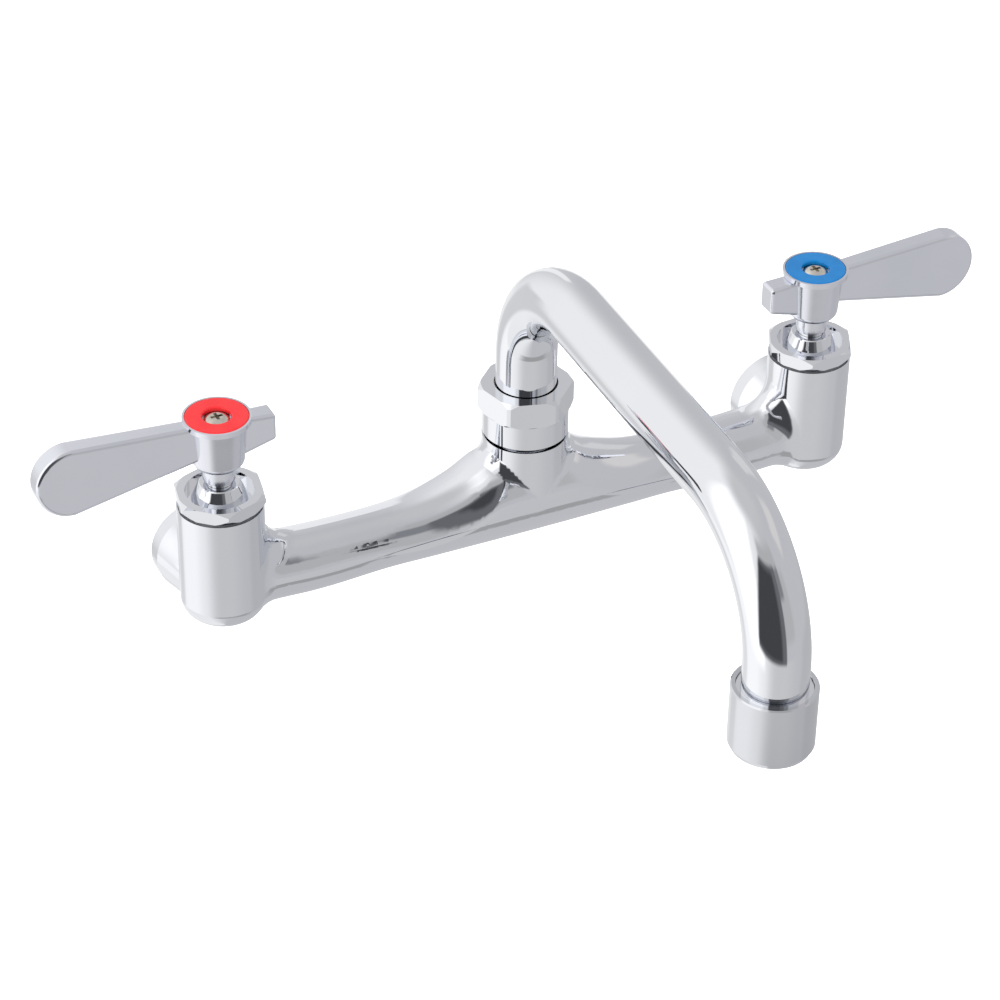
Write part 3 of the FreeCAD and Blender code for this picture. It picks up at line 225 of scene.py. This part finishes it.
@dataclass
class Studio:
    """A white sweep, an even soft light, and what stands round it for the plating to mirror."""

    floor_z: float = -0.42
    floor_half: float = 4.0
    soft_light: float = 0.85
    lamp_size: float = 0.9
    lamp_energy: float = 9.0
    lamp_place: tuple[float, float, float] = (-0.9, -0.7, 1.2)
    lamp_back: tuple[float, float, float] = (-0.9, -0.6, 1.2)

    def build(self) -> None:
        """Make the floor, the surroundings and the lamp."""
        self.surroundings()
        self.floor()
        self.lamp()

    def floor(self) -> None:
        """Lay a pale floor that keeps the object's shadow."""
        shape = bmesh.new()
        bmesh.ops.create_grid(shape, x_segments=2, y_segments=2, size=self.floor_half,
                              matrix=Matrix.Translation((0, 0, self.floor_z)))
        mesh = bpy.data.meshes.new("floor")
        shape.to_mesh(mesh)
        shape.free()
        floor = bpy.data.objects.new("floor", mesh)
        bpy.context.scene.collection.objects.link(floor)
        paint = bpy.data.materials.new("white_sweep")
        paint.use_nodes = True
        tree = paint.node_tree
        shader = tree.nodes["Principled BSDF"]
        shader.inputs["Base Color"].default_value = linear("#F4F4F4")
        shader.inputs["Roughness"].default_value = 0.9
        shader.inputs["Specular IOR Level"].default_value = 0.0
        path = add_node(tree, "ShaderNodeLightPath")
        glow = add_node(tree, "ShaderNodeEmission", inputs={
            "Color": linear("#FFFFFF"), "Strength": path.outputs["Is Camera Ray"]})
        both = add_node(tree, "ShaderNodeAddShader", inputs={0: shader.outputs[0], 1: glow.outputs[0]})
        tree.links.new(both.outputs[0], tree.nodes["Material Output"].inputs["Surface"])
        mesh.materials.append(paint)
        floor.visible_glossy = False

    def surroundings(self) -> None:
        """Set a white background and an even light, and lay the zones that the plating mirrors."""
        world = bpy.data.worlds.new("studio")
        bpy.context.scene.world = world
        world.use_nodes = True
        tree = world.node_tree
        tree.nodes.clear()
        toward = add_node(tree, "ShaderNodeTexCoord").outputs["Generated"]
        white = add_node(tree, "ShaderNodeRGB")
        white.outputs[0].default_value = linear("#FFFFFF")
        mirrored = white.outputs[0]
        for zone in ZONES:
            mirrored = zone.over(tree, toward, mirrored)
        path = add_node(tree, "ShaderNodeLightPath").outputs
        seen = add_node(tree, "ShaderNodeMix", settings={"data_type": "RGBA"}, inputs={
            0: path["Is Glossy Ray"], 6: white.outputs[0], 7: mirrored}).outputs[2]
        backdrop = add_node(tree, "ShaderNodeBackground", inputs={"Color": seen})
        soft_light = add_node(tree, "ShaderNodeBackground", inputs={
            "Color": linear("#FFFFFF"), "Strength": self.soft_light})
        shown = path["Is Camera Ray"]
        for kind in ("Is Glossy Ray", "Is Transmission Ray"):
            shown = add_node(tree, "ShaderNodeMath", settings={"operation": "MAXIMUM"}, inputs={
                0: shown, 1: path[kind]}).outputs[0]
        mix = add_node(tree, "ShaderNodeMixShader", inputs={
            0: shown, 1: soft_light.outputs[0], 2: backdrop.outputs[0]})
        add_node(tree, "ShaderNodeOutputWorld", inputs={"Surface": mix.outputs[0]})

    def lamp(self) -> None:
        """Hang one soft lamp above and to the left."""
        light = bpy.data.lights.new("softbox", "AREA")
        light.shape = "SQUARE"
        light.size = self.lamp_size
        light.energy = self.lamp_energy
        lamp = bpy.data.objects.new("softbox", light)
        lamp.location = self.lamp_place
        lamp.rotation_euler = Vector(self.lamp_back).to_track_quat("Z", "Y").to_euler()
        lamp.visible_glossy = False
        bpy.context.scene.collection.objects.link(lamp)


@dataclass(frozen=True)
class Zone:
    """A soft-edged patch of the studio, as seen from the faucet.

    Azimuth runs from the wall (0) through the right (90) and the camera's side (180) to the left (270).
    """

    level: float
    azimuth: float = 0.0
    half_width: float = 181.0
    soft: float = 6.0
    low: float = -90.0
    high: float = 90.0
    soft_low: float = 5.0
    soft_high: float = 5.0
    slant: float = 0.0
    taper: float = 0.0
    tint: str = "#FFFFFF"

    def over(self, tree: bpy.types.NodeTree, toward: bpy.types.NodeSocket,
             under: bpy.types.NodeSocket) -> bpy.types.NodeSocket:
        """Lay this patch over what is there.

        Args:
            tree: The world's node tree.
            toward: The direction looked in.
            under: The colour laid so far.

        Returns:
            The colour with this patch on it.
        """
        red, green, blue, _ = linear(self.tint)
        colour = (red * self.level, green * self.level, blue * self.level, 1.0)
        turned = add_node(tree, "ShaderNodeVectorRotate", settings={"rotation_type": "Z_AXIS"}, inputs={
            "Vector": toward, "Angle": math.radians(self.azimuth)}).outputs[0]
        parts = add_node(tree, "ShaderNodeSeparateXYZ", inputs={0: turned}).outputs
        across = add_node(tree, "ShaderNodeMath", settings={"operation": "ARCTAN2"}, inputs={
            0: parts["X"], 1: parts["Y"]}).outputs[0]
        rise = add_node(tree, "ShaderNodeMath", settings={"operation": "ARCSINE"}, inputs={
            0: parts["Z"]}).outputs[0]
        leaned = add_node(tree, "ShaderNodeMath", settings={"operation": "MULTIPLY_ADD"}, inputs={
            0: rise, 1: self.slant, 2: across}).outputs[0]
        away = add_node(tree, "ShaderNodeMath", settings={"operation": "ABSOLUTE"}, inputs={
            0: leaned}).outputs[0]
        away = add_node(tree, "ShaderNodeMath", settings={"operation": "MULTIPLY_ADD"}, inputs={
            0: rise, 1: self.taper, 2: away}).outputs[0]
        cover = None
        for value, edge, width in (
                (away, self.half_width, self.soft),
                (rise, self.high, self.soft_high),
                (rise, self.low, -self.soft_low)):
            step = add_node(tree, "ShaderNodeMapRange", settings={
                "interpolation_type": "SMOOTHSTEP"}, inputs={
                "Value": value, "From Min": math.radians(min(edge, edge + width)),
                "From Max": math.radians(max(edge, edge + width)),
                "To Min": 1.0 if width > 0 else 0.0, "To Max": 0.0 if width > 0 else 1.0}).outputs["Result"]
            cover = step if cover is None else add_node(
                tree, "ShaderNodeMath", settings={"operation": "MULTIPLY"},
                inputs={0: cover, 1: step}).outputs[0]
        mix = add_node(tree, "ShaderNodeMix", settings={"data_type": "RGBA"}, inputs={
            0: cover, 6: under, 7: colour})
        return mix.outputs[2]


# What the plating mirrors: plain soft patches, set to the reflections measured in the photograph.
# They lie over the white background, the first ones lowest.
ZONES = (
    # The grey side of the room, which fades into white on the left, and the ceiling.
    Zone(0.61, azimuth=112, half_width=68, soft=72, low=-91, high=91, tint="#FCFCFF"),
    Zone(0.55, azimuth=86, half_width=26, soft=20, low=-42, high=-22, soft_low=6, soft_high=10,
         tint="#FCFCFF"),
    Zone(0.75, azimuth=102, half_width=12, soft=14, low=33, high=44, soft_low=8, soft_high=8, tint="#FFFCFA"),
    Zone(0.52, azimuth=163, half_width=10, soft=12, low=-4, high=32, soft_low=8, soft_high=8),
    Zone(0.64, half_width=181, low=80, high=91, soft_low=24, soft_high=1),
    # The ground, greyer in front and towards the wall on the left.
    Zone(1.14, azimuth=292, half_width=12, soft=34, low=-39, high=-26, soft_low=3, soft_high=4),
    Zone(0.66, azimuth=192, half_width=8, soft=52, low=-40, high=-22, soft_low=4, soft_high=4),
    Zone(0.40, azimuth=176, half_width=30, soft=40, low=-47, high=-41, soft_low=3, soft_high=1.5),
    Zone(0.74, azimuth=338, half_width=8, soft=12, low=-34, high=-8, soft_low=8, soft_high=8),
    # Bright strips near the wall.
    Zone(0.96, azimuth=6, half_width=9, soft=8, low=-40, high=-22, soft_low=6, soft_high=8),
    Zone(1.00, azimuth=35, half_width=5, soft=7, low=-22, high=-14, soft_low=6, soft_high=8),
    Zone(1.00, azimuth=19, half_width=3, soft=3, low=-20, high=26, soft_high=8),
    Zone(0.74, azimuth=55, half_width=5, soft=5, low=12, high=34),
    # The bright panel on the left.
    Zone(1.32, azimuth=273, half_width=21, soft=12, low=-25, high=48, soft_low=8, soft_high=22),
    # The dark room behind the camera: grey above it, and paler at its left end.
    Zone(0.50, azimuth=192, half_width=26, soft=12, low=36, high=50, soft_low=6, soft_high=12),
    Zone(0.28, azimuth=172, half_width=7, soft=6, low=24, high=38, soft_low=7, soft_high=6, tint="#F6F8FF"),
    Zone(0.17, azimuth=213, half_width=34, soft=5, low=-20, high=40, soft_low=4, soft_high=6,
         slant=0.28, taper=0.28, tint="#F6F8FF"),
    Zone(0.07, azimuth=220, half_width=26, soft=9, low=-17, high=35, soft_low=5, soft_high=8,
         slant=0.28, taper=0.28, tint="#F4F6FF"),
)


@dataclass
class View:
    """The photograph's camera, fitted to edges read from it.

    The inlets' spacing and the tube's diameter were given to the fit.
    """

    place: tuple[float, float, float] = (-0.3885, -0.7923, 0.6058)
    heading: float = 0.4586
    dip: float = 0.6126
    roll: float = 0.0178
    lens_mm: float = 120.36
    sensor_mm: float = 36.0

    def build(self) -> None:
        """Make the camera and set it as the scene's."""
        ahead = Vector((math.sin(self.heading) * math.cos(self.dip),
                        math.cos(self.heading) * math.cos(self.dip), -math.sin(self.dip)))
        right = Vector((math.cos(self.heading), -math.sin(self.heading), 0.0))
        up = right.cross(ahead)
        side = math.cos(self.roll) * right + math.sin(self.roll) * up
        top = math.cos(self.roll) * up - math.sin(self.roll) * right
        data = bpy.data.cameras.new("view")
        data.sensor_width = self.sensor_mm
        data.lens = self.lens_mm
        data.clip_start = 0.01
        camera = bpy.data.objects.new("view", data)
        turned = Matrix((side, top, -ahead)).transposed().to_4x4()
        camera.matrix_world = Matrix.Translation(self.place) @ turned
        bpy.context.scene.collection.objects.link(camera)
        bpy.context.scene.camera = camera


def smooth(mesh: bpy.types.Mesh, crease_deg: float = 32.0) -> None:
    """Shade a mesh smooth, with hard edges where two faces meet at a steeper angle.

    Args:
        mesh: The mesh to shade.
        crease_deg: The angle from which an edge stays hard.
    """
    mesh.shade_smooth()
    mesh.set_sharp_from_angle(angle=math.radians(crease_deg))


def piece(name: str, shape: bmesh.types.BMesh, body: str, finish: Finish) -> bpy.types.Object:
    """Turn a finished shape into a piece that rides on a body.

    Args:
        name: The piece's name.
        shape: Its shape in the frame's coordinates, in metres. It is freed here.
        body: The body that carries it.
        finish: What it is made of.

    Returns:
        The new object, at the origin.
    """
    mesh = bpy.data.meshes.new(name)
    shape.to_mesh(mesh)
    shape.free()
    smooth(mesh)
    mesh.materials.append(finish.material())
    made = bpy.data.objects.new(name, mesh)
    bpy.context.scene.collection.objects.link(made)
    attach(made, body)
    LOG.info("%s: %d faces on %s", name, len(mesh.polygons), body)
    return made


@dataclass
class Inlets:
    """The pipe threads that are cut in the casting's two inlets."""

    centres_mm: float = 203.2
    bore_mm: float = 18.3
    pitch_mm: float = 1.814
    ridge_mm: float = 0.62
    ridge_stretch: float = 1.15
    turns: float = 4.6
    first_mm: float = 0.9
    steps: int = 40

    def build(self) -> None:
        """Cut the thread of each inlet."""
        for side, way in ((Side.HOT, -1), (Side.COLD, 1)):
            self.thread(side, way * self.centres_mm / 2)

    def thread(self, side: Side, middle_mm: float) -> None:
        """Wind one pipe thread's ridge up the wall of an inlet.

        Args:
            side: The inlet.
            middle_mm: Where its axis stands, from the middle of the faucet.
        """
        shape = bmesh.new()
        bmesh.ops.create_circle(shape, cap_ends=True, segments=3, radius=self.ridge_mm * MM)
        bmesh.ops.scale(shape, vec=(1.0, self.ridge_stretch, 1.0), verts=shape.verts)
        bmesh.ops.translate(shape, vec=(0.0, -self.bore_mm / 2 * MM, 0.0), verts=shape.verts)
        bmesh.ops.rotate(shape, cent=(0, 0, 0), verts=shape.verts,
                         matrix=Matrix.Rotation(math.radians(90), 3, "Y"))
        count = round(self.turns * self.steps)
        bmesh.ops.spin(shape, geom=[*shape.verts, *shape.edges, *shape.faces], cent=(0, 0, 0), axis=(1, 0, 0),
                       dvec=(self.pitch_mm * MM / self.steps, 0, 0), angle=math.tau * self.turns, steps=count)
        bmesh.ops.rotate(shape, cent=(0, 0, 0), verts=shape.verts,
                         matrix=Matrix.Rotation(math.radians(-90), 3, "Z"))
        bmesh.ops.translate(shape, vec=(middle_mm * MM, -self.first_mm * MM, 0.0), verts=shape.verts)
        bmesh.ops.recalc_face_normals(shape, faces=shape.faces)
        piece(f"{side.value}_inlet_thread", shape, "body", CHROME_CAST)


@dataclass
class Outlet:
    """The woven wire screen that closes the aerator."""

    middle_mm: tuple[float, float] = (0.0, -178.0)
    level_mm: float = 17.25
    radius_mm: float = 9.2
    wire_mm: float = 0.24
    pitch_mm: float = 0.92
    sides: int = 6
    rim_steps: int = 48

    def build(self) -> None:
        """Weave the screen, bind its rim, and put it in the plain disc's place."""
        shape = bmesh.new()
        count = int((self.radius_mm - self.wire_mm) / self.pitch_mm)
        for across in (False, True):
            for step in range(-count, count + 1):
                self.wire(shape, step, across)
        self.rim(shape)
        bmesh.ops.translate(shape, verts=shape.verts, vec=(
            self.middle_mm[0] * MM, self.middle_mm[1] * MM, self.level_mm * MM))
        bmesh.ops.recalc_face_normals(shape, faces=shape.faces)
        made = piece("woven_screen", shape, "spout", WIRE)
        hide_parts("aerator_screen")

    def wire(self, shape: bmesh.types.BMesh, step: int, across: bool) -> None:
        """Lay one wire, which passes over one neighbour and under the next.

        Args:
            shape: The screen so far.
            step: Which wire, counted from the middle one.
            across: Whether it runs left to right.
        """
        offset = step * self.pitch_mm
        reach = math.sqrt(self.radius_mm ** 2 - offset ** 2)
        rod = bmesh.new()
        bmesh.ops.create_cone(
            rod, segments=self.sides, radius1=self.wire_mm / 2 * MM, radius2=self.wire_mm / 2 * MM,
            depth=2 * reach * MM, matrix=Matrix.Rotation(math.radians(90), 4, "Y"))
        bmesh.ops.subdivide_edges(
            rod, edges=[edge for edge in rod.edges if edge.calc_length() > self.wire_mm * MM],
            cuts=max(2, round(4 * reach / self.pitch_mm) - 1))
        sign = (1 if step % 2 else -1) * (1 if across else -1)
        for vert in rod.verts:
            vert.co.z += sign * self.wire_mm / 2 * MM * math.cos(math.pi * vert.co.x / (self.pitch_mm * MM))
            vert.co.y += offset * MM
        if not across:
            bmesh.ops.rotate(rod, cent=(0, 0, 0), verts=rod.verts,
                             matrix=Matrix.Rotation(math.radians(90), 3, "Z"))
        mesh = bpy.data.meshes.new("wire")
        rod.to_mesh(mesh)
        rod.free()
        shape.from_mesh(mesh)
        bpy.data.meshes.remove(mesh)

    def rim(self, shape: bmesh.types.BMesh) -> None:
        """Roll the round wire that binds the screen's edge.

        Args:
            shape: The screen so far.
        """
        ring = bmesh.ops.create_circle(
            shape, segments=self.sides, radius=self.wire_mm * MM,
            matrix=Matrix.Translation((self.radius_mm * MM, 0, 0)) @ Matrix.Rotation(math.radians(90), 4, "X"))
        loop = {edge for vert in ring["verts"] for edge in vert.link_edges}
        bmesh.ops.spin(shape, geom=[*ring["verts"], *loop], cent=(0, 0, 0), axis=(0, 0, 1),
                       angle=math.tau, steps=self.rim_steps, use_merge=True)


@dataclass
class Coats:
    """The finish of each CAD node that keeps its own shape."""

    nodes: dict[str, bpy.types.Object]
    common: dict[str, Finish] = field(default_factory=lambda: {
        "faucet_body": CHROME_CAST,
        "spout_tube": CHROME_TUBE,
        "spout_nut": CHROME_TURNED,
        "spout_spigot": BRASS,
        "spout_upper_seal": RUBBER,
        "spout_lower_seal": RUBBER,
        "spout_bearing_ring": ACETAL,
        "spout_thrust_washer": ACETAL,
        "outlet_adapter": CHROME_TURNED,
        "aerator_housing": CHROME_SHELL,
        "aerator_washer": RUBBER,
        "aerator_insert": ACETAL,
        "aerator_screen": WIRE,
    })
    sided: dict[str, Finish] = field(default_factory=lambda: {
        "lever_handle": CHROME_LEVER,
        "bonnet": CHROME_TURNED,
        "bonnet_gasket": FIBRE,
        "valve_stem": CHROME_TURNED,
        "stem_seal": RUBBER,
        "cartridge_cage": ACETAL,
        "moving_disc": CERAMIC,
        "fixed_disc": CERAMIC,
        "seat_seal": RUBBER,
        "handle_screw": ZINC,
    })

    def apply(self) -> None:
        """Give every node its finish."""
        wanted = dict(self.common)
        for side in Side:
            wanted.update({f"{side.value}_{name}": finish for name, finish in self.sided.items()})
        wanted["hot_index_ring"] = RED_RING
        wanted["cold_index_ring"] = BLUE_RING
        for name, finish in wanted.items():
            node = self.nodes[name]
            node.data.materials.clear()
            node.data.materials.append(finish.material())
            LOG.info("%s: %s", name, finish.name)


def main() -> None:
    """Load the frame, dress it, and set the studio and the camera."""
    logging.basicConfig(level=logging.INFO, format="%(name)s %(message)s")
    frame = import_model()
    Coats(frame["nodes"]).apply()
    Inlets().build()
    Outlet().build()
    Studio().build()
    View().build()
    bpy.context.scene.view_settings.view_transform = "Standard"


if __name__ == "__main__":
    main()
